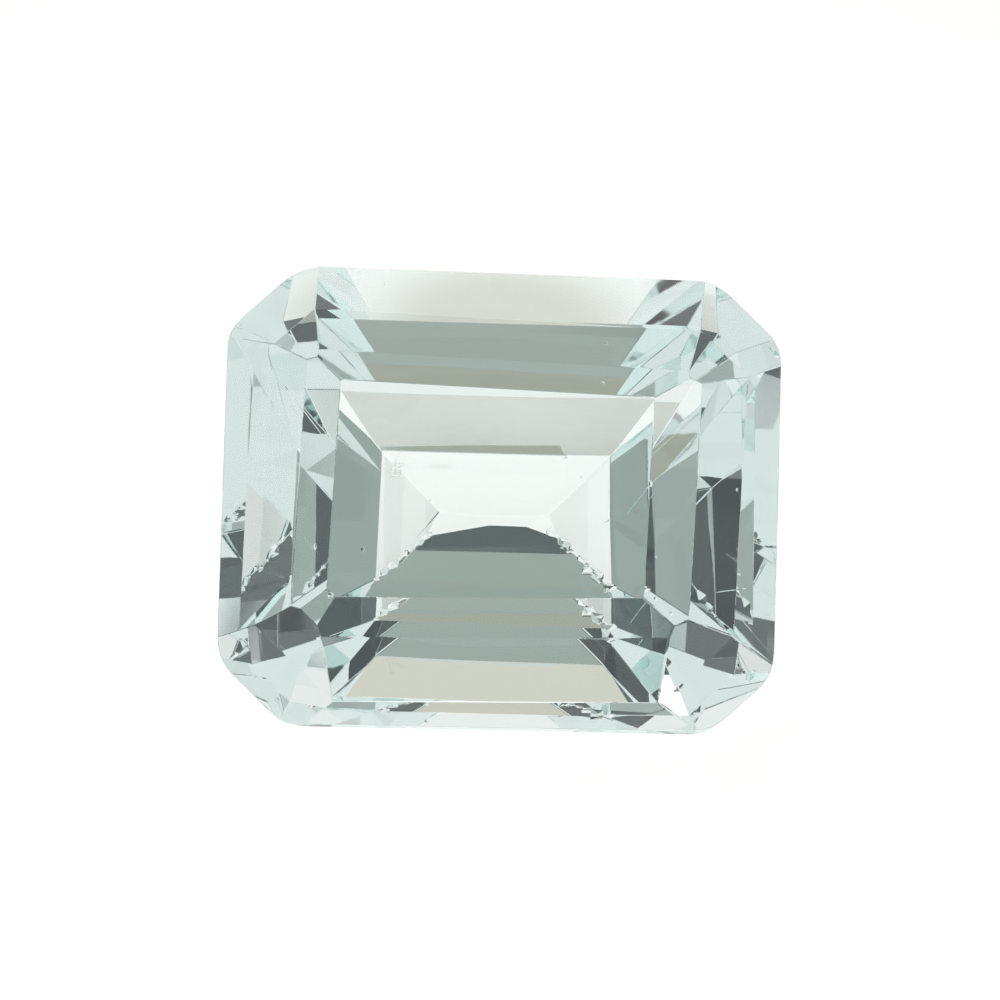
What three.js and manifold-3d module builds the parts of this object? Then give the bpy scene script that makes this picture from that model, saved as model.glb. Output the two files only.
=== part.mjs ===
// A loose step-cut topaz: an octagonal stone with a table, three crown steps, a thin girdle
// and three pavilion steps that meet in a short keel. Sizes are in millimetres.
//
// The stone is made as a lapidary cuts it. A block with the outline of the girdle is ground flat
// facet by facet, and then the keel and the sharp edges lose small chips. In the stone's own
// axes X runs along its length, Y across its width and Z out of the table, with the middle of
// the girdle at Z = 0. At the end the stone is laid down on the pavilion facet that it rests on.
//
// The stone is hand cut, so its sides differ. Each side's facets are turned a little off square,
// in degrees clockwise as seen from above the table.

import * as THREE from "three";
import { mergeVertices } from "three/addons/utils/BufferGeometryUtils.js";
import Module from "manifold-3d";

// Girdle: the outline of the stone, seen from above the table
const LENGTH = 11.0;
const WIDTH = 9.18;
const CORNER_CUT_X = 1.32;
const CORNER_CUT_Y = 1.25;
const CORNER_ROUNDING = 0.42;
const GIRDLE_HALF_HEIGHT = 0.15;
const GIRDLE_TURNS = { right: -0.1, back: 0.2, left: 0, front: -0.9 };

// Crown: how far each step rises, and how far it comes in on each side, from the girdle up
const CROWN_RISES = [0.8, 0.61, 0.29];
const CROWN_INSETS = {
  right: [0.75, 0.9, 0.92],
  back: [1.11, 0.95, 0.64],
  left: [0.84, 0.68, 0.7],
  front: [0.36, 1.18, 0.74],
};
const CROWN_TURNS = { right: 1.7, back: 1.6, left: 1.9, front: -1.5 };
const CROWN_CORNER_SHARES = [0.39, 0.62, 1.0];

// Pavilion: how far each step drops and comes in, from the girdle down. The third step comes
// in to the keel.
const PAVILION_DROPS = [1.76, 1.77, 0.98];
const PAVILION_INSETS = {
  right: [1.4, 1.88],
  back: [1.56, 1.76],
  left: [1.32, 1.77],
  front: [1.24, 1.97],
};
const PAVILION_TURNS = { right: -2.1, back: -0.5, left: 1.2, front: 0.6 };
const PAVILION_CORNER_SHARES = [0.4, 1.0];
const KEEL_CENTRE_X = -0.09;
const KEEL_CENTRE_Y = 0.04;
const KEEL_HALF_LENGTH = 0.94;

// The step of the front side that the stone lies on, counted from the girdle
const RESTING_STEP = 1;

// Chips along the worn edges: how far apart they are, how wide and how deep
const CHIP_SPACING = 0.13;
const CHIP_RADIUS = { smallest: 0.05, largest: 0.13 };
const CHIP_DEPTH = { smallest: 0.012, largest: 0.05 };
const CHIP_SIDES = 7;
const CHIP_BANDS = 5;

// The grinding wheel is far larger than the stone, and the rough block a little deeper
const WHEEL_SIZE = 40;
const BLOCK_MARGIN = 0.5;
const WELD_DISTANCE = 1e-6;

const UP = new THREE.Vector3(0, 0, 1);
const DOWN = new THREE.Vector3(0, 0, -1);

// The four straight sides and the four cut corners, as directions out from the middle
const SIDES = {
  right: new THREE.Vector3(1, 0, 0),
  back: new THREE.Vector3(0, 1, 0),
  left: new THREE.Vector3(-1, 0, 0),
  front: new THREE.Vector3(0, -1, 0),
};
const CORNERS = [
  ["right", "back"],
  ["left", "back"],
  ["left", "front"],
  ["right", "front"],
];
const GIRDLE_REACH = { right: LENGTH / 2, back: WIDTH / 2, left: LENGTH / 2, front: WIDTH / 2 };

const wasm = await Module();
wasm.setup();

function solidOf(geometry) {
  const plain = geometry.clone();
  plain.deleteAttribute("normal");
  plain.deleteAttribute("uv");
  const welded = mergeVertices(plain, WELD_DISTANCE);
  return new wasm.Manifold(
    new wasm.Mesh({
      numProp: 3,
      vertProperties: new Float32Array(welded.attributes.position.array),
      triVerts: new Uint32Array(welded.index.array),
    }),
  );
}

function geometryOf(solid) {
  const mesh = solid.getMesh();
  const geometry = new THREE.BufferGeometry();
  geometry.setAttribute("position", new THREE.BufferAttribute(mesh.vertProperties, 3));
  geometry.setIndex(new THREE.BufferAttribute(mesh.triVerts, 1));
  geometry.computeVertexNormals();
  return geometry;
}

// A place straight out from the middle of the stone
function placeOut(direction, reach, height) {
  return direction.clone().multiplyScalar(reach).setZ(height);
}

// The level line of a facet that faces a given way and is turned a little clockwise
function levelLine(direction, turn) {
  const square = new THREE.Vector3(-direction.y, direction.x, 0);
  return square.applyAxisAngle(UP, -THREE.MathUtils.degToRad(turn));
}

// A facet holds two places, one further in than the other, and its level line
function facetThrough(direction, turn, near, far) {
  const normal = levelLine(direction, turn).cross(far.clone().sub(near)).normalize();
  if (normal.dot(direction) < 0) {
    normal.negate();
  }
  return { normal, point: near };
}

// The line of a cut corner is square to this direction on every step
function cornerDirection([alongX, alongY]) {
  const across = SIDES[alongX].clone().multiplyScalar(CORNER_CUT_Y);
  const along = SIDES[alongY].clone().multiplyScalar(CORNER_CUT_X);
  return across.add(along).normalize();
}

// How far a corner's sharp point lies out along the corner's direction
function sharpCornerReach(reach, [alongX, alongY]) {
  const acrossPoint = SIDES[alongX].clone().multiplyScalar(reach[alongX]);
  const alongPoint = SIDES[alongY].clone().multiplyScalar(reach[alongY]);
  return acrossPoint.add(alongPoint).dot(cornerDirection([alongX, alongY]));
}

function girdleCornerReach(corner) {
  const cutAway = CORNER_CUT_X * Math.abs(cornerDirection(corner).x);
  return sharpCornerReach(GIRDLE_REACH, corner) - cutAway;
}

// A ring is one level of the stone: its height and how far out each side reaches there
function stepRings(startHeight, heightChanges, insets) {
  const rings = [{ height: startHeight, reach: { ...GIRDLE_REACH } }];
  heightChanges.forEach((change, step) => {
    const last = rings.at(-1);
    const reach = {};
    for (const side of Object.keys(SIDES)) {
      reach[side] = last.reach[side] - insets[side][step];
    }
    rings.push({ height: last.height + change, reach });
  });
  return rings;
}

function crownRings() {
  return stepRings(GIRDLE_HALF_HEIGHT, CROWN_RISES, CROWN_INSETS);
}

function pavilionRings() {
  const [first, second, third] = PAVILION_DROPS;
  const rings = stepRings(-GIRDLE_HALF_HEIGHT, [-first, -second], PAVILION_INSETS);
  rings.push({
    height: rings.at(-1).height - third,
    reach: {
      right: KEEL_HALF_LENGTH + KEEL_CENTRE_X,
      back: KEEL_CENTRE_Y,
      left: KEEL_HALF_LENGTH - KEEL_CENTRE_X,
      front: -KEEL_CENTRE_Y,
    },
  });
  return rings;
}

function sideFacet(rings, step, side, turns) {
  const [near, far] = rings
    .slice(step, step + 2)
    .map((ring) => placeOut(SIDES[side], ring.reach[side], ring.height));
  return facetThrough(SIDES[side], turns[side], near, far);
}

function sideFacets(rings, turns) {
  const facets = [];
  for (let step = 0; step + 1 < rings.length; step += 1) {
    for (const side of Object.keys(SIDES)) {
      facets.push(sideFacet(rings, step, side, turns));
    }
  }
  return facets;
}

// The corner facets narrow to a point at the ring where their shares end
function cornerFacets(rings, shares) {
  const facets = [];
  for (const corner of CORNERS) {
    const direction = cornerDirection(corner);
    const start = girdleCornerReach(corner);
    const end = sharpCornerReach(rings[shares.length].reach, corner);
    const places = [0, ...shares].map((share, step) =>
      placeOut(direction, start + (end - start) * share, rings[step].height),
    );
    for (let step = 0; step < shares.length; step += 1) {
      facets.push(facetThrough(direction, 0, places[step], places[step + 1]));
    }
  }
  return facets;
}

// The eight faces of the girdle in order round the stone, each a line square to its normal
function girdleFaces() {
  const faces = [];
  CORNERS.forEach((corner, index) => {
    const side = Object.keys(SIDES)[index];
    const sidePlace = placeOut(SIDES[side], GIRDLE_REACH[side], 0);
    const below = sidePlace.clone().add(DOWN);
    faces.push(facetThrough(SIDES[side], GIRDLE_TURNS[side], sidePlace, below));
    const direction = cornerDirection(corner);
    faces.push({ normal: direction, point: placeOut(direction, girdleCornerReach(corner), 0) });
  });
  return faces;
}

// Where two upright faces meet, seen from above
function meetingPoint(first, second) {
  const determinant = first.normal.x * second.normal.y - first.normal.y * second.normal.x;
  const firstReach = first.normal.dot(first.point);
  const secondReach = second.normal.dot(second.point);
  return new THREE.Vector2(
    (firstReach * second.normal.y - secondReach * first.normal.y) / determinant,
    (secondReach * first.normal.x - firstReach * second.normal.x) / determinant,
  );
}

// The octagon of the girdle, with the points between its faces worn round
function girdleOutline() {
  const faces = girdleFaces();
  const points = faces.map((face, index) => meetingPoint(face, faces[(index + 1) % 8]));
  const outline = new THREE.Shape();
  points.forEach((point, index) => {
    const before = points.at(index - 1);
    const after = points[(index + 1) % points.length];
    const bendStart = before.clone().sub(point).setLength(CORNER_ROUNDING).add(point);
    const bendEnd = after.clone().sub(point).setLength(CORNER_ROUNDING).add(point);
    if (index === 0) {
      outline.moveTo(bendStart.x, bendStart.y);
    } else {
      outline.lineTo(bendStart.x, bendStart.y);
    }
    outline.quadraticCurveTo(point.x, point.y, bendEnd.x, bendEnd.y);
  });
  outline.closePath();
  return outline;
}

function girdleBlock(tableHeight, keelHeight) {
  const block = new THREE.ExtrudeGeometry(girdleOutline(), {
    depth: tableHeight - keelHeight + BLOCK_MARGIN,
    bevelEnabled: false,
    curveSegments: 5,
  });
  block.translate(0, 0, keelHeight - BLOCK_MARGIN);
  return solidOf(block);
}

// Everything on the outer side of a facet is ground away
function grindFacet(stone, { normal, point }) {
  const wheel = new THREE.BoxGeometry(WHEEL_SIZE, WHEEL_SIZE, WHEEL_SIZE);
  wheel.translate(0, 0, WHEEL_SIZE / 2);
  wheel.applyQuaternion(new THREE.Quaternion().setFromUnitVectors(UP, normal));
  wheel.translate(point.x, point.y, point.z);
  return stone.subtract(solidOf(wheel));
}

// A repeatable spread of numbers from 0 to 1
function spread(index) {
  const wave = Math.sin(index * 12.9898) * 43758.5453;
  return wave - Math.floor(wave);
}

function between({ smallest, largest }, share) {
  return smallest + (largest - smallest) * share;
}

// One shell-shaped chip: a rough ball that bites a little way into an edge
function chipOut(stone, place, outward, size, turn) {
  const radius = between(CHIP_RADIUS, size);
  const ball = new THREE.SphereGeometry(radius, CHIP_SIDES, CHIP_BANDS);
  ball.rotateX(turn * Math.PI);
  ball.rotateZ(turn * Math.PI * 2);
  const centre = place.clone().addScaledVector(outward, radius - between(CHIP_DEPTH, size));
  ball.translate(centre.x, centre.y, centre.z);
  return stone.subtract(solidOf(ball));
}

// A row of chips along a worn edge. A worn share of 1 is chipped all along, and a lower one
// leaves gaps.
function chipEdge(stone, { from, to, outward, worn, seed }) {
  const count = Math.floor(from.distanceTo(to) / CHIP_SPACING);
  let chipped = stone;
  for (let index = 0; index < count; index += 1) {
    const draw = seed + index * 4;
    if (spread(draw) > worn) {
      continue;
    }
    const place = from.clone().lerp(to, (index + spread(draw + 1)) / count);
    chipped = chipOut(chipped, place, outward, spread(draw + 2) ** 2, spread(draw + 3));
  }
  return chipped;
}

function ringCorner(ring, alongX, alongY) {
  const across = SIDES[alongX].clone().multiplyScalar(ring.reach[alongX]);
  const along = SIDES[alongY].clone().multiplyScalar(ring.reach[alongY]);
  return across.add(along).setZ(ring.height);
}

// The keel and the two front ridges that rise from it are chipped nearly all along, and the
// two back ridges here and there
function wornEdges(pavilion) {
  const [, , shoulder, keel] = pavilion;
  const keelLeft = ringCorner(keel, "left", "back");
  const keelRight = ringCorner(keel, "right", "back");
  const ridge = (alongX, alongY, worn, seed) => ({
    from: alongX === "left" ? keelLeft : keelRight,
    to: ringCorner(shoulder, alongX, alongY),
    outward: SIDES[alongX].clone().add(SIDES[alongY]).addScaledVector(DOWN, 2).normalize(),
    worn,
    seed,
  });
  return [
    { from: keelLeft, to: keelRight, outward: DOWN, worn: 0.95, seed: 11 },
    ridge("left", "front", 0.95, 101),
    ridge("right", "front", 0.8, 211),
    ridge("right", "back", 0.25, 307),
    ridge("left", "back", 0.3, 401),
  ];
}

function cutStone(crown, pavilion) {
  let stone = girdleBlock(crown.at(-1).height, pavilion.at(-1).height);
  const facets = [
    ...sideFacets(crown, CROWN_TURNS),
    ...cornerFacets(crown, CROWN_CORNER_SHARES),
    ...sideFacets(pavilion, PAVILION_TURNS),
    ...cornerFacets(pavilion, PAVILION_CORNER_SHARES),
  ];
  for (const facet of facets) {
    stone = grindFacet(stone, facet);
  }
  for (const edge of wornEdges(pavilion)) {
    stone = chipEdge(stone, edge);
  }
  return geometryOf(stone);
}

function topazMaterial() {
  return new THREE.MeshStandardMaterial({
    name: "topaz",
    color: new THREE.Color(0.8, 0.92, 0.91),
    roughness: 0.05,
    metalness: 0,
    flatShading: true,
  });
}

// The stone is turned until its resting facet faces down, and its box stands on the origin
function layDown(stone, restingFacet) {
  stone.quaternion.setFromUnitVectors(restingFacet.normal, DOWN);
  const box = new THREE.Box3().setFromObject(stone, true);
  const middle = box.getCenter(new THREE.Vector3());
  stone.position.set(-middle.x, -middle.y, -box.min.z);
}

const crown = crownRings();
const pavilion = pavilionRings();
const topaz = new THREE.Mesh(cutStone(crown, pavilion), topazMaterial());
topaz.name = "topaz";
layDown(topaz, sideFacet(pavilion, RESTING_STEP, "front", PAVILION_TURNS));

const part = new THREE.Group();
part.add(topaz);

export default part;
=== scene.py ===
"""A loose step-cut blue topaz, lying on a glowing opal sheet in a light tent.

The stone's own axes are used to place its wear: X along its length, Y across its width, Z out
of its table, in millimetres from the middle of its girdle.
"""

import logging
import math
import random
from dataclasses import dataclass, field
from enum import Enum

import bmesh
import bpy
from mathutils import Matrix, Vector


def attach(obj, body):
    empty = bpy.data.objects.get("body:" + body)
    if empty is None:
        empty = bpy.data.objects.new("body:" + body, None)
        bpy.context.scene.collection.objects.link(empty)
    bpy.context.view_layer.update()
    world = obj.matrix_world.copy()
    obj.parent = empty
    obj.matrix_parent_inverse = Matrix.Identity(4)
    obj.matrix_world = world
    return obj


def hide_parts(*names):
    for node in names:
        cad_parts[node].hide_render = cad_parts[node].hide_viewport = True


log = logging.getLogger("topaz")

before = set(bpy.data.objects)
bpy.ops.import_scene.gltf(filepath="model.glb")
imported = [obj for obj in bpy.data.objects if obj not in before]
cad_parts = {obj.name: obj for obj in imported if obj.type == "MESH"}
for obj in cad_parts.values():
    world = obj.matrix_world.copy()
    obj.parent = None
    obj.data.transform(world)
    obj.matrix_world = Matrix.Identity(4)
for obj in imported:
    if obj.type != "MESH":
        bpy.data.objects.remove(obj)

MM = 0.001
DOWN = Vector((0, 0, -1))
UP = Vector((0, 0, 1))

# How the stone lies: the way its table looks, in degrees, and the middle of its girdle
TABLE_AZIMUTH = -0.6
TABLE_ELEVATION = 48.06
GIRDLE_MIDDLE = Vector((-0.003, 0.145, 3.66))


def stone_axes() -> Matrix:
    """Gives the matrix from the stone's own axes in millimetres to the frame in metres."""
    table = direction_of(TABLE_AZIMUTH, TABLE_ELEVATION)
    turn = UP.rotation_difference(table).to_matrix().to_4x4()
    return Matrix.Scale(MM, 4) @ Matrix.Translation(GIRDLE_MIDDLE) @ turn


def direction_of(azimuth: float, elevation: float) -> Vector:
    """Gives a direction from the stone as a unit vector.

    Args:
        azimuth: Degrees round the stone, 0 toward the side that the table faces, 90 toward +X.
        elevation: Degrees above the horizon.

    Returns:
        The unit vector.
    """
    turn = math.radians(azimuth)
    rise = math.radians(elevation)
    level = math.cos(rise)
    return Vector((math.sin(turn) * level, -math.cos(turn) * level, math.sin(rise)))


def new_object(name: str, solid: bmesh.types.BMesh) -> bpy.types.Object:
    """Makes an object of a mesh under construction, and frees that.

    Args:
        name: The object's name.
        solid: The mesh under construction.

    Returns:
        The object, in the scene.
    """
    mesh = bpy.data.meshes.new(name)
    solid.to_mesh(mesh)
    solid.free()
    made = bpy.data.objects.new(name, mesh)
    bpy.context.scene.collection.objects.link(made)
    return made


class NodeDesk:
    """Makes nodes in one tree and joins them."""

    def __init__(self, tree: bpy.types.NodeTree) -> None:
        """Starts with an empty tree.

        Args:
            tree: The node tree.
        """
        self.tree = tree
        tree.nodes.clear()

    def node(self, kind: str, **settings: object) -> bpy.types.Node:
        """Adds a node.

        Args:
            kind: The node's type name.
            settings: Attributes of the node.

        Returns:
            The node.
        """
        made = self.tree.nodes.new(kind)
        for name, value in settings.items():
            setattr(made, name, value)
        return made

    def feed(self, socket: bpy.types.NodeSocket, value: object) -> None:
        """Joins a socket to another or sets its value.

        Args:
            socket: The input socket.
            value: An output socket, a number, or a tuple.
        """
        if isinstance(value, bpy.types.NodeSocket):
            self.tree.links.new(value, socket)
        else:
            socket.default_value = value

    def maths(self, operation: str, *values: object) -> bpy.types.NodeSocket:
        """Adds a Math node.

        Args:
            operation: The node's operation.
            values: Its inputs, sockets or numbers.

        Returns:
            Its output.
        """
        made = self.node("ShaderNodeMath", operation=operation)
        for socket, value in zip(made.inputs, values):
            self.feed(socket, value)
        return made.outputs["Value"]

    def vector(self, operation: str, *values: object) -> bpy.types.Node:
        """Adds a Vector Math node.

        Args:
            operation: The node's operation.
            values: Its inputs, sockets or vectors.

        Returns:
            The node.
        """
        made = self.node("ShaderNodeVectorMath", operation=operation)
        for socket, value in zip(made.inputs, values):
            self.feed(socket, value)
        return made

    def add_share(self, start: object, share: object, change: object) -> bpy.types.NodeSocket:
        """Adds a share of a colour to a colour.

        Args:
            start: The colour to start from.
            share: How much of the change is added, from 0 to 1.
            change: The colour that is added.

        Returns:
            The sum.
        """
        return self.vector("MULTIPLY_ADD", share, change, start).outputs["Vector"]

    def blend(self, start: object, end: object, share: object) -> bpy.types.NodeSocket:
        """Blends from one colour to another.

        Args:
            start: The colour at a share of 0.
            end: The colour at a share of 1.
            share: The socket with the share.

        Returns:
            The blend.
        """
        made = self.node("ShaderNodeMix", data_type="VECTOR")
        inputs = {socket.identifier: socket for socket in made.inputs}
        outputs = {socket.identifier: socket for socket in made.outputs}
        self.feed(inputs["Factor_Float"], share)
        self.feed(inputs["A_Vector"], start)
        self.feed(inputs["B_Vector"], end)
        return outputs["Result_Vector"]

    def fade(self, value: object, start: float, end: float) -> bpy.types.NodeSocket:
        """Turns a value into a smooth step from 0 to 1.

        Args:
            value: The socket to read.
            start: The value that gives 0.
            end: The value that gives 1.

        Returns:
            The step's output.
        """
        made = self.node("ShaderNodeMapRange", interpolation_type="SMOOTHSTEP")
        self.feed(made.inputs["Value"], value)
        self.feed(made.inputs["From Min"], start)
        self.feed(made.inputs["From Max"], end)
        return made.outputs["Result"]

    def noise(self, place: object, scale: float, detail: float) -> bpy.types.NodeSocket:
        """Adds a Noise texture.

        Args:
            place: The socket with the place.
            scale: Features per metre.
            detail: Its octaves.

        Returns:
            Its strength, from 0 to 1.
        """
        made = self.node("ShaderNodeTexNoise")
        self.feed(made.inputs["Vector"], place)
        self.feed(made.inputs["Scale"], scale)
        self.feed(made.inputs["Detail"], detail)
        return made.outputs["Fac"]


@dataclass(frozen=True)
class TopazCrystal:
    """Clear topaz: hand-polished facets round a faintly blue-green body.

    Depths and reaches are in metres, and scales are features per metre.
    """

    ior: float = 1.62
    body_colour: tuple[float, float, float] = (0.2, 0.6, 0.58)
    absorption_per_metre: float = 25.0
    facet_swell: float = 2e-5
    swell_scale: float = 260.0
    swell_detail: float = 0.0
    polish_depth: float = 1.5e-7
    polish_scale: float = 2600.0
    polish_detail: float = 2.0
    smudge_roughness: float = 0.02
    smudge_scale: float = 700.0
    smudge_detail: float = 1.0
    smudge_edge: tuple[float, float] = (0.5, 0.75)
    clean_reach: tuple[float, float, float] = (0.0044, 0.0036, 1.0)
    corner_haze: float = 0.02
    haze_edge: tuple[float, float] = (0.95, 1.3)

    def build(self) -> bpy.types.Material:
        """Makes the material.

        Returns:
            The material.
        """
        material = bpy.data.materials.new("topaz_crystal")
        material.use_nodes = True
        desk = NodeDesk(material.node_tree)
        output = desk.node("ShaderNodeOutputMaterial")
        surface = desk.node("ShaderNodeBsdfPrincipled")
        surface.inputs["Base Color"].default_value = (1, 1, 1, 1)
        surface.inputs["IOR"].default_value = self.ior
        surface.inputs["Transmission Weight"].default_value = 1.0
        place = desk.node("ShaderNodeTexCoord").outputs["Object"]
        desk.feed(surface.inputs["Roughness"], self.smudges(desk, place))
        desk.feed(surface.inputs["Normal"], self.polish(desk, place))
        body = desk.node("ShaderNodeVolumeAbsorption")
        body.inputs["Color"].default_value = (*self.body_colour, 1)
        body.inputs["Density"].default_value = self.absorption_per_metre
        desk.feed(output.inputs["Surface"], surface.outputs["BSDF"])
        desk.feed(output.inputs["Volume"], body.outputs["Volume"])
        return material

    def smudges(self, desk: NodeDesk, place: bpy.types.NodeSocket) -> bpy.types.NodeSocket:
        """Makes the roughness: clean polish with faint smudges, hazier toward the corners.

        Args:
            desk: The material's nodes.
            place: The place on the stone.

        Returns:
            The roughness.
        """
        cloud = desk.noise(place, self.smudge_scale, self.smudge_detail)
        cover = desk.fade(cloud, *self.smudge_edge)
        smudge = desk.maths("MULTIPLY", cover, self.smudge_roughness)
        inside = desk.vector("DIVIDE", place, self.clean_reach).outputs["Vector"]
        reach = desk.vector("LENGTH", inside).outputs["Value"]
        outside = desk.fade(reach, *self.haze_edge)
        return desk.maths("MULTIPLY_ADD", outside, self.corner_haze, smudge)

    def polish(self, desk: NodeDesk, place: bpy.types.NodeSocket) -> bpy.types.NodeSocket:
        """Makes the facets swell slightly, as hand polishing leaves them, with a fine grain.

        Args:
            desk: The material's nodes.
            place: The place on the stone.

        Returns:
            The surface's direction.
        """
        direction = None
        for scale, depth, detail in (
            (self.swell_scale, self.facet_swell, self.swell_detail),
            (self.polish_scale, self.polish_depth, self.polish_detail),
        ):
            bump = desk.node("ShaderNodeBump")
            desk.feed(bump.inputs["Height"], desk.noise(place, scale, detail))
            bump.inputs["Distance"].default_value = depth
            if direction is not None:
                desk.feed(bump.inputs["Normal"], direction)
            direction = bump.outputs["Normal"]
        return direction


# Flakes and pits are cut with plain icosahedra, whose faces lie at this share of their radius
FLAKE_SUBDIVISIONS = 1
FLAKE_FACE_REACH = 0.795


@dataclass(frozen=True)
class ChippedEdge:
    """A row of flat-sided flakes broken off along an edge, in the stone's own axes."""

    start: tuple[float, float, float]
    end: tuple[float, float, float]
    outward: tuple[float, float, float]
    spacing: float = 0.15
    radius: tuple[float, float] = (0.12, 0.3)
    depth: tuple[float, float] = (0.01, 0.035)
    stretch: tuple[float, float] = (0.7, 1.4)
    worn: float = 1.0
    seed: int = 1

    def cut(self, cutters: bmesh.types.BMesh) -> None:
        """Adds the row's chips to the cutters.

        Args:
            cutters: The mesh of everything that is cut away.
        """
        draw = random.Random(self.seed)
        start = Vector(self.start)
        end = Vector(self.end)
        outward = Vector(self.outward).normalized()
        count = max(1, round((end - start).length / self.spacing))
        for index in range(count):
            share, size, gap = draw.random(), draw.random() ** 2, draw.random()
            turn = Vector([draw.uniform(-1, 1) for _ in range(3)])
            stretch = draw.uniform(*self.stretch)
            if gap > self.worn:
                continue
            radius = self.radius[0] + (self.radius[1] - self.radius[0]) * size
            depth = self.depth[0] + (self.depth[1] - self.depth[0]) * size
            away = outward * (radius * FLAKE_FACE_REACH - depth)
            centre = start.lerp(end, (index + share) / count) + away
            place = (
                Matrix.Translation(centre)
                @ turn.to_track_quat("Z", "Y").to_matrix().to_4x4()
                @ Matrix.Diagonal((stretch, 1.0, 1.0 / stretch, 1.0))
            )
            bmesh.ops.create_icosphere(
                cutters, subdivisions=FLAKE_SUBDIVISIONS, radius=radius, matrix=place
            )


@dataclass(frozen=True)
class Scratch:
    """A fine groove across a facet, narrower at its far end, in the stone's own axes."""

    start: tuple[float, float, float]
    end: tuple[float, float, float]
    width: float = 0.02
    sides: int = 6

    def cut(self, cutters: bmesh.types.BMesh) -> None:
        """Adds the groove to the cutters.

        Args:
            cutters: The mesh of everything that is cut away.
        """
        start = Vector(self.start)
        along = Vector(self.end) - start
        place = (
            Matrix.Translation(start + along / 2)
            @ along.to_track_quat("Z", "Y").to_matrix().to_4x4()
        )
        bmesh.ops.create_cone(
            cutters,
            cap_ends=True,
            segments=self.sides,
            radius1=self.width / 2,
            radius2=self.width / 3,
            depth=along.length,
            matrix=place,
        )


@dataclass(frozen=True)
class Pit:
    """A small chip or bruise at one place, in the stone's own axes."""

    place: tuple[float, float, float]
    radius: float
    stretch: float = 1.0
    flatness: float = 0.45

    def cut(self, cutters: bmesh.types.BMesh) -> None:
        """Adds the pit to the cutters.

        Args:
            cutters: The mesh of everything that is cut away.
        """
        along = Vector(self.place).cross(UP)
        shape = (
            Matrix.Translation(self.place)
            @ along.to_track_quat("X", "Z").to_matrix().to_4x4()
            @ Matrix.Diagonal((self.stretch, 1.0, self.flatness, 1.0))
        )
        bmesh.ops.create_icosphere(
            cutters, subdivisions=FLAKE_SUBDIVISIONS, radius=self.radius, matrix=shape
        )


class EdgeWear(Enum):
    """How far the sharpness of an edge is worn back, in millimetres."""

    FACET = 0.012
    GIRDLE = 0.02
    KEEL = 0.025
    CROWN_CORNER = 0.03
    GIRDLE_CORNER = 0.14

    @classmethod
    def of(cls, start: Vector, end: Vector) -> "EdgeWear":
        """Chooses the wear of an edge from where it is.

        Args:
            start: One end of the edge, in the stone's own axes.
            end: Its other end.

        Returns:
            The wear.
        """
        rise = abs(start.z - end.z)
        middle = (start + end) / 2
        if max(abs(start.z), abs(end.z)) < GIRDLE_EDGE:
            return cls.GIRDLE_CORNER if rise > GIRDLE_EDGE else cls.GIRDLE
        if middle.z < SHOULDER_FRONT_LEFT[2] and middle.y < SHOULDER_BACK_LEFT[1]:
            return cls.KEEL
        at_corner = middle.x > CORNER_FROM_X and middle.y < CORNER_FROM_Y
        if at_corner and middle.z > 0:
            return cls.CROWN_CORNER
        return cls.FACET


# Just above the girdle's upper edge
GIRDLE_EDGE = 0.17

# The crown's worn corner is to the right of the first and in front of the second
CORNER_FROM_X = 2.0
CORNER_FROM_Y = -1.5

# The keel and where the four ridges of the pavilion leave its second step
KEEL_LEFT = (-1.03, 0.04, -4.66)
KEEL_RIGHT = (0.85, 0.04, -4.66)
SHOULDER_FRONT_LEFT = (-2.41, -1.38, -3.68)
SHOULDER_FRONT_RIGHT = (2.22, -1.38, -3.68)
SHOULDER_BACK_LEFT = (-2.41, 1.27, -3.68)
SHOULDER_BACK_RIGHT = (2.22, 1.27, -3.68)


@dataclass(frozen=True)
class WornKeelEnd:
    """The flat that wear has left at one end of the keel, in the stone's own axes.

    It crosses the keel and the two ridges at shares of their lengths.
    """

    end: tuple[float, float, float]
    other_end: tuple[float, float, float]
    front_shoulder: tuple[float, float, float]
    back_shoulder: tuple[float, float, float]
    along_keel: float
    toward_front: float
    toward_back: float

    def flat(self, keel_flat: float) -> tuple[Vector, Vector]:
        """Finds the flat.

        Args:
            keel_flat: How far the middle of the keel is worn down.

        Returns:
            A place on the flat and its outward normal.
        """
        end = Vector(self.end)
        first = end.lerp(Vector(self.other_end), self.along_keel) - DOWN * keel_flat * 0.5
        second = end.lerp(Vector(self.front_shoulder), self.toward_front)
        third = end.lerp(Vector(self.back_shoulder), self.toward_back)
        normal = (second - first).cross(third - first).normalized()
        return first, (normal if normal.z < 0 else -normal)


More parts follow.
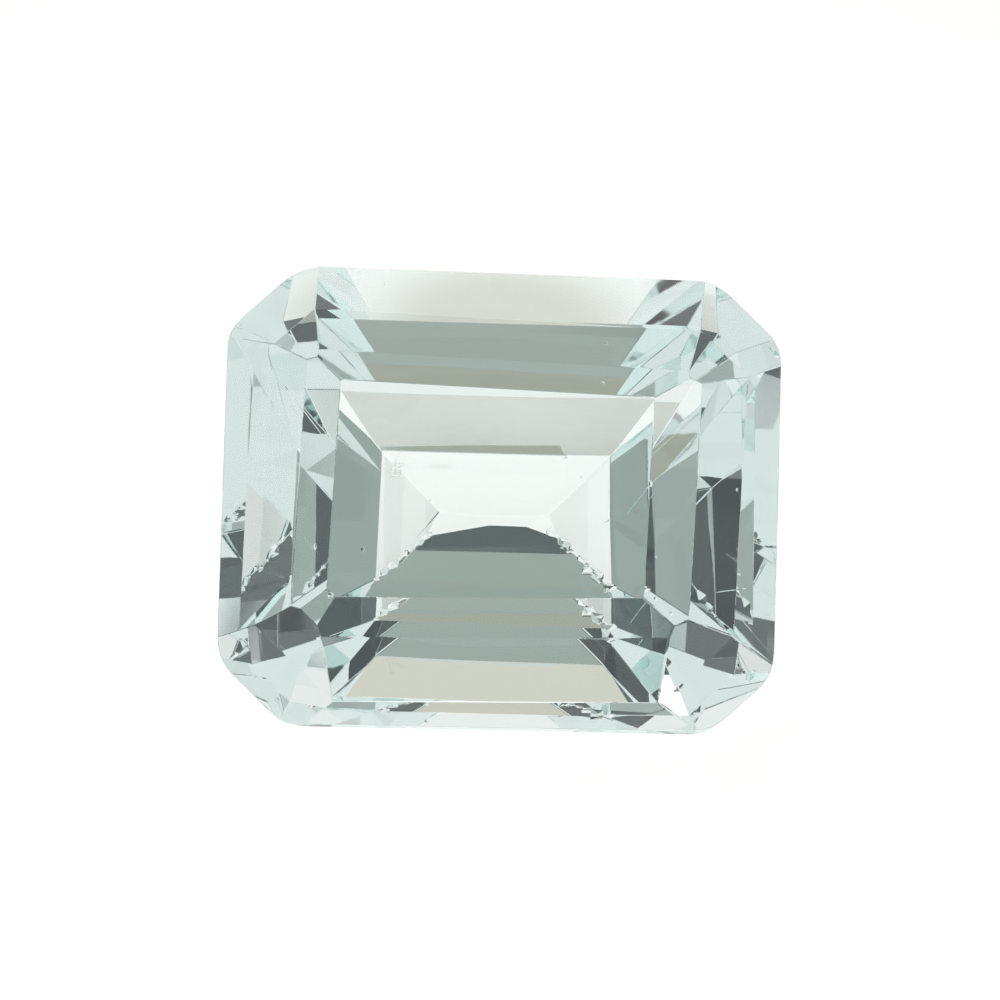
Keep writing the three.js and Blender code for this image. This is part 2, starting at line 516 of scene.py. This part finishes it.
@dataclass
class CutStone:
    """The stone: its ground facets, the fine wear of their edges, and its chips.

    Sizes are in millimetres, areas in square millimetres and angles in degrees.
    """

    weld_distance: float = 1e-4
    merge_angle: float = 0.2
    flat_within: float = 0.004
    smallest_facet: float = 0.01
    inner_place: tuple[float, float, float] = (0.0, 0.0, -1.0)
    block_size: float = 16.0
    cut_tolerance: float = 1e-5
    corner_weld: float = 1e-3
    keel_flat: float = 0.07
    rounding_steps: int = 3
    crystal: TopazCrystal = field(default_factory=TopazCrystal)

    def facet_planes(self) -> list[tuple[Vector, Vector]]:
        """Reads the stone's facets, without its chips.

        Returns:
            A place and an outward normal for each facet, in the stone's own axes.
        """
        solid = bmesh.new()
        solid.from_mesh(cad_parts["topaz"].data)
        bmesh.ops.transform(solid, matrix=stone_axes().inverted(), verts=solid.verts)
        bmesh.ops.remove_doubles(solid, verts=solid.verts, dist=self.weld_distance)
        bmesh.ops.dissolve_limit(
            solid,
            angle_limit=math.radians(self.merge_angle),
            verts=solid.verts,
            edges=solid.edges,
        )
        centre = Vector(self.inner_place)
        planes = []
        for face in sorted(solid.faces, key=lambda each: -each.calc_area()):
            if face.calc_area() < self.smallest_facet:
                break
            place = face.calc_center_median()
            normal = face.normal.copy()
            inward = any(
                (vert.co - place).dot(normal) > self.flat_within
                for vert in solid.verts
            )
            if not inward and (place - centre).dot(normal) > 0:
                planes.append((place, normal))
        solid.free()
        return planes

    def worn_flats(self) -> list[tuple[Vector, Vector]]:
        """Lists the narrow flats that wear has left along the keel and at its two ends.

        Returns:
            A place and an outward normal for each flat, in the stone's own axes.
        """
        middle = Vector(KEEL_LEFT).lerp(Vector(KEEL_RIGHT), 0.5)
        left = WornKeelEnd(
            end=KEEL_LEFT,
            other_end=KEEL_RIGHT,
            front_shoulder=SHOULDER_FRONT_LEFT,
            back_shoulder=SHOULDER_BACK_LEFT,
            along_keel=0.5,
            toward_front=0.28,
            toward_back=0.12,
        )
        right = WornKeelEnd(
            end=KEEL_RIGHT,
            other_end=KEEL_LEFT,
            front_shoulder=SHOULDER_FRONT_RIGHT,
            back_shoulder=SHOULDER_BACK_RIGHT,
            along_keel=0.2,
            toward_front=0.22,
            toward_back=0.1,
        )
        return [
            (middle - DOWN * self.keel_flat, DOWN),
            left.flat(self.keel_flat),
            right.flat(self.keel_flat),
        ]

    def ground_stone(self) -> bmesh.types.BMesh:
        """Grinds a block down to the facets.

        Returns:
            The stone with sharp edges and no chips, in its own axes.
        """
        stone = bmesh.new()
        bmesh.ops.create_cube(stone, size=self.block_size)
        planes = self.facet_planes() + self.worn_flats()
        for place, normal in planes:
            cut = bmesh.ops.bisect_plane(
                stone,
                geom=[*stone.verts, *stone.edges, *stone.faces],
                dist=self.cut_tolerance,
                plane_co=place,
                plane_no=normal,
                clear_outer=True,
            )
            edges = [each for each in cut["geom_cut"] if isinstance(each, bmesh.types.BMEdge)]
            if edges:
                bmesh.ops.holes_fill(stone, edges=edges, sides=0)
        bmesh.ops.remove_doubles(stone, verts=stone.verts, dist=self.corner_weld)
        bmesh.ops.recalc_face_normals(stone, faces=stone.faces)
        log.info("facets ground: %d, faces %d", len(planes), len(stone.faces))
        return stone

    def chips(self) -> list[ChippedEdge | Pit | Scratch]:
        """Lists the chipped edges, the single chips and the scratches."""
        front_left = (-1, -1, -2)
        front_right = (1, -1, -2)
        rows = [
            ChippedEdge(KEEL_LEFT, KEEL_RIGHT, (0, 0, -1), spacing=0.12, seed=11, worn=0.9),
            ChippedEdge(KEEL_LEFT, SHOULDER_FRONT_LEFT, front_left, seed=23),
            ChippedEdge(KEEL_RIGHT, SHOULDER_FRONT_RIGHT, front_right, seed=31, worn=0.9),
            ChippedEdge(KEEL_RIGHT, SHOULDER_BACK_RIGHT, (1, 1, -2), seed=43, worn=0.3),
            ChippedEdge(KEEL_LEFT, SHOULDER_BACK_LEFT, (-1, 1, -2), seed=59, worn=0.35),
        ]
        pits = [
            Pit((1.58, 0.15, 1.85), 0.03),
            Pit((4.67, 0.17, 1.0), 0.04),
            Pit((2.94, 0.07, 1.84), 0.05, 1.6),
            Pit((-2.4, 4.24, 0.46), 0.05),
            Pit((5.34, 3.15, 0.12), 0.11, 1.5),
            Pit((5.04, -3.39, 0.16), 0.11, 1.4),
            Pit((-3.28, -2.36, 1.83), 0.07),
            Pit((2.13, -2.1, 1.85), 0.04, 1.8),
            Pit((3.1, -2.22, 1.77), 0.06),
            Pit((3.42, -2.49, 1.67), 0.05),
        ]
        scratches = [
            Scratch((-2.03, 0.54, 1.85), (-2.16, 0.09, 1.85), 0.07),
            Scratch((-2.14, 0.21, 1.85), (-1.75, 0.39, 1.85), 0.06),
            Scratch((-2.12, 0.34, 1.85), (-1.98, 0.02, 1.85), 0.05),
            Scratch((-2.21, 0.07, 1.85), (-1.94, 0.06, 1.85), 0.05),
            Scratch((4.89, -1.76, 0.75), (4.29, -1.95, 1.22), 0.025),
            Scratch((5.43, -3.16, 0.05), (4.45, -2.65, 1.1), 0.03),
            Scratch((5.38, -2.88, 0.18), (4.84, -2.41, 0.77), 0.025),
            Scratch((-4.31, 1.95, 1.21), (-3.54, 0.86, 1.73), 0.025),
        ]
        return [*rows, *pits, *scratches]

    def wear_down(self, stone: bpy.types.Object) -> None:
        """Rounds the edges and cuts the chips and scratches out of the stone.

        Args:
            stone: The stone, in its own axes.
        """
        widest = max(kind.value for kind in EdgeWear)
        weights = stone.data.attributes.new("bevel_weight_edge", "FLOAT", "EDGE")
        corners = stone.data.vertices
        for edge in stone.data.edges:
            start, end = (corners[index].co for index in edge.vertices)
            weights.data[edge.index].value = EdgeWear.of(start, end).value / widest
        rounding = stone.modifiers.new("edge_wear", "BEVEL")
        rounding.limit_method = "WEIGHT"
        rounding.width = widest
        rounding.segments = self.rounding_steps
        rounding.use_clamp_overlap = False
        cutters = bmesh.new()
        for chip in self.chips():
            chip.cut(cutters)
        tool = new_object("wear", cutters)
        cut = stone.modifiers.new("chips", "BOOLEAN")
        cut.operation = "DIFFERENCE"
        cut.object = tool
        cut.solver = "MANIFOLD"
        graph = bpy.context.evaluated_depsgraph_get()
        worn = bpy.data.meshes.new_from_object(stone.evaluated_get(graph))
        stone.modifiers.clear()
        stone.data = worn
        worn.name = stone.name
        bpy.data.objects.remove(tool)

    def build(self) -> bpy.types.Object:
        """Makes the stone and dresses it.

        Returns:
            The stone.
        """
        stone = new_object("cut_stone", self.ground_stone())
        self.wear_down(stone)
        stone.data.transform(stone_axes())
        stone.data.materials.clear()
        stone.data.materials.append(self.crystal.build())
        for face in stone.data.polygons:
            face.use_smooth = False
        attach(stone, "root")
        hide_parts("topaz")
        return stone


@dataclass(frozen=True)
class OpalSheet:
    """Plain pale opal acrylic lit from below, a little brighter round the stone.

    Reaches are in metres. One soft shade lies where the stone touches the sheet.
    """

    colour: tuple[float, float, float] = (0.3, 0.3, 0.298)
    roughness: float = 0.9
    glow: tuple[float, float, float] = (0.82, 0.82, 0.8)
    far_change: tuple[float, float, float] = (-0.27, -0.27, -0.26)
    near: float = 0.018
    far: float = 0.06
    shade_change: tuple[float, float, float] = (-0.26, -0.29, -0.35)
    shade_middle: tuple[float, float, float] = (0.0, 0.0008, 0.0)
    shade_reach: tuple[float, float, float] = (0.0026, 0.0017, 1.0)
    shade_edge: tuple[float, float] = (1.3, 0.5)

    def build(self) -> bpy.types.Material:
        """Makes the material.

        Returns:
            The material.
        """
        material = bpy.data.materials.new("opal_sheet")
        material.use_nodes = True
        desk = NodeDesk(material.node_tree)
        output = desk.node("ShaderNodeOutputMaterial")
        surface = desk.node("ShaderNodeBsdfPrincipled")
        surface.inputs["Base Color"].default_value = (*self.colour, 1)
        surface.inputs["Roughness"].default_value = self.roughness
        surface.inputs["Specular IOR Level"].default_value = 0.0
        surface.inputs["Emission Strength"].default_value = 1.0
        place = desk.node("ShaderNodeTexCoord").outputs["Object"]
        reach = desk.vector("LENGTH", place).outputs["Value"]
        falloff = desk.fade(reach, self.near, self.far)
        glow = desk.add_share(self.glow, falloff, self.far_change)
        contact = desk.vector("SUBTRACT", place, self.shade_middle).outputs["Vector"]
        contact = desk.vector("DIVIDE", contact, self.shade_reach).outputs["Vector"]
        contact = desk.vector("LENGTH", contact).outputs["Value"]
        shade = desk.fade(contact, *self.shade_edge)
        glow = desk.add_share(glow, shade, self.shade_change)
        desk.feed(surface.inputs["Emission Color"], glow)
        desk.feed(output.inputs["Surface"], surface.outputs["BSDF"])
        material.cycles.emission_sampling = "NONE"
        return material


@dataclass
class Floor:
    """The pale sheet under the stone."""

    half_width: float = 0.6
    depth_below: float = 2e-5
    opal: OpalSheet = field(default_factory=OpalSheet)

    def build(self) -> bpy.types.Object:
        """Makes the floor.

        Returns:
            The floor.
        """
        sheet = bmesh.new()
        bmesh.ops.create_grid(sheet, x_segments=1, y_segments=1, size=self.half_width)
        bmesh.ops.translate(sheet, vec=DOWN * self.depth_below, verts=sheet.verts)
        floor = new_object("floor", sheet)
        floor.data.materials.append(self.opal.build())
        return floor


@dataclass(frozen=True)
class Card:
    """A soft-edged upright card before the tent, with its own even tone.

    Its place and its half sizes are angles in degrees, as the stone sees them.
    """

    azimuth: float
    elevation: float
    half_width: float
    half_height: float
    tone: tuple[float, float, float]
    softness: float = 0.3
    least_ahead: float = 0.05

    def mask(self, desk: NodeDesk, look: bpy.types.NodeSocket) -> bpy.types.NodeSocket:
        """Finds how far a direction is on the card.

        Args:
            desk: The world's nodes.
            look: The direction.

        Returns:
            1 on the card and 0 off it.
        """
        centre = direction_of(self.azimuth, self.elevation)
        right = direction_of(self.azimuth + 90, 0)
        up = direction_of(self.azimuth, self.elevation + 90)
        ahead = desk.vector("DOT_PRODUCT", look, centre).outputs["Value"]
        outer = 1 + self.softness / 2
        inner = 1 - self.softness / 2
        shares = []
        for axis, half_angle in ((right, self.half_width), (up, self.half_height)):
            aside = desk.vector("DOT_PRODUCT", look, axis).outputs["Value"]
            slope = desk.maths("DIVIDE", desk.maths("ABSOLUTE", aside), ahead)
            offset = desk.maths("DIVIDE", slope, math.tan(math.radians(half_angle)))
            shares.append(desk.fade(offset, outer, inner))
        both = desk.maths("MULTIPLY", *shares)
        in_front = desk.maths("GREATER_THAN", ahead, self.least_ahead)
        return desk.maths("MULTIPLY", both, in_front)


# The tones of the cards
DARK = (0.04, 0.06, 0.06)
DIM = (0.09, 0.11, 0.11)
GREY = (0.4, 0.43, 0.4)
BEIGE = (0.42, 0.41, 0.33)
CREAM = (0.7, 0.66, 0.55)
LAMP = (1.5, 1.45, 1.4)


@dataclass
class LightTent:
    """White cloth all round, with the few cards that give a clear stone its darks."""

    cloth: tuple[float, float, float] = (0.9, 0.9, 0.88)
    cards: tuple[Card, ...] = (
        # The dim side of the tent, where the camera stands, warmer at its foot
        Card(0, 53, 14, 19, GREY),
        Card(0, 43, 14, 3, BEIGE),
        # Dark cards to the right and to the left of the camera, and a dim one above
        Card(31, 53, 7, 8, DARK),
        Card(60, 62, 7, 6, DARK),
        Card(40, 72, 14, 9, DIM),
        Card(-36, 52, 12, 20, DARK),
        Card(-19, 31, 9, 4, DARK),
        # Low dark cards at the two ends
        Card(-80, 18, 4, 18, DARK),
        Card(100, 32, 14, 14, DARK),
        # The lamps behind the tent and the cream cloth over them
        Card(180, 62, 16, 8, CREAM),
        Card(-150, 52, 12, 11, LAMP),
        Card(180, 46, 8, 7, LAMP),
    )

    def build(self) -> bpy.types.World:
        """Makes the surroundings.

        Returns:
            The world.
        """
        world = bpy.data.worlds.new("light_tent")
        world.use_nodes = True
        bpy.context.scene.world = world
        desk = NodeDesk(world.node_tree)
        look = desk.node("ShaderNodeTexCoord").outputs["Generated"]
        level = self.cloth
        for card in self.cards:
            level = desk.blend(level, card.tone, card.mask(desk, look))
        background = desk.node("ShaderNodeBackground")
        desk.feed(background.inputs["Color"], level)
        output = desk.node("ShaderNodeOutputWorld")
        desk.feed(output.inputs["Surface"], background.outputs["Background"])
        world.cycles.sampling_method = "NONE"
        return world


@dataclass
class StudioCamera:
    """The camera, looking nearly straight down on the table of the stone.

    Its target and its lens are in millimetres, its turns in degrees, and the rest in metres.
    """

    target: tuple[float, float, float] = (-0.006, 0.160, 3.679)
    azimuth: float = -0.67
    elevation: float = 36.54
    roll: float = 2.346
    distance: float = 0.25
    lens: float = 454.3
    sensor_width: float = 36.0
    nearest: float = 0.01
    farthest: float = 10.0

    def build(self) -> bpy.types.Object:
        """Makes the camera.

        Returns:
            The camera.
        """
        data = bpy.data.cameras.new("camera")
        data.lens = self.lens
        data.sensor_width = self.sensor_width
        data.clip_start = self.nearest
        data.clip_end = self.farthest
        camera = bpy.data.objects.new("camera", data)
        bpy.context.scene.collection.objects.link(camera)
        back = direction_of(self.azimuth, self.elevation)
        camera.rotation_mode = "QUATERNION"
        level = (-back).to_track_quat("-Z", "Y")
        roll = Matrix.Rotation(math.radians(self.roll), 3, "Z").to_quaternion()
        camera.rotation_quaternion = level @ roll
        camera.location = Vector(self.target) * MM + back * self.distance
        bpy.context.scene.camera = camera
        return camera


def set_look() -> None:
    """Sets how light becomes picture, and how far light is followed through the stone."""
    scene = bpy.context.scene
    scene.view_settings.view_transform = "Standard"
    scene.view_settings.look = "None"
    scene.cycles.max_bounces = 20
    scene.cycles.transmission_bounces = 20
    scene.cycles.glossy_bounces = 12
    scene.cycles.diffuse_bounces = 4
    scene.cycles.blur_glossy = 0.0
    scene.cycles.sample_clamp_indirect = 0.0


def main() -> None:
    """Builds the scene."""
    logging.basicConfig(level=logging.INFO, format="%(message)s")
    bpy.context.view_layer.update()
    StudioCamera().build()
    LightTent().build()
    Floor().build()
    stone = CutStone().build()
    log.info("%s: %d faces", stone.name, len(stone.data.polygons))
    set_look()


if __name__ == "__main__":
    main()
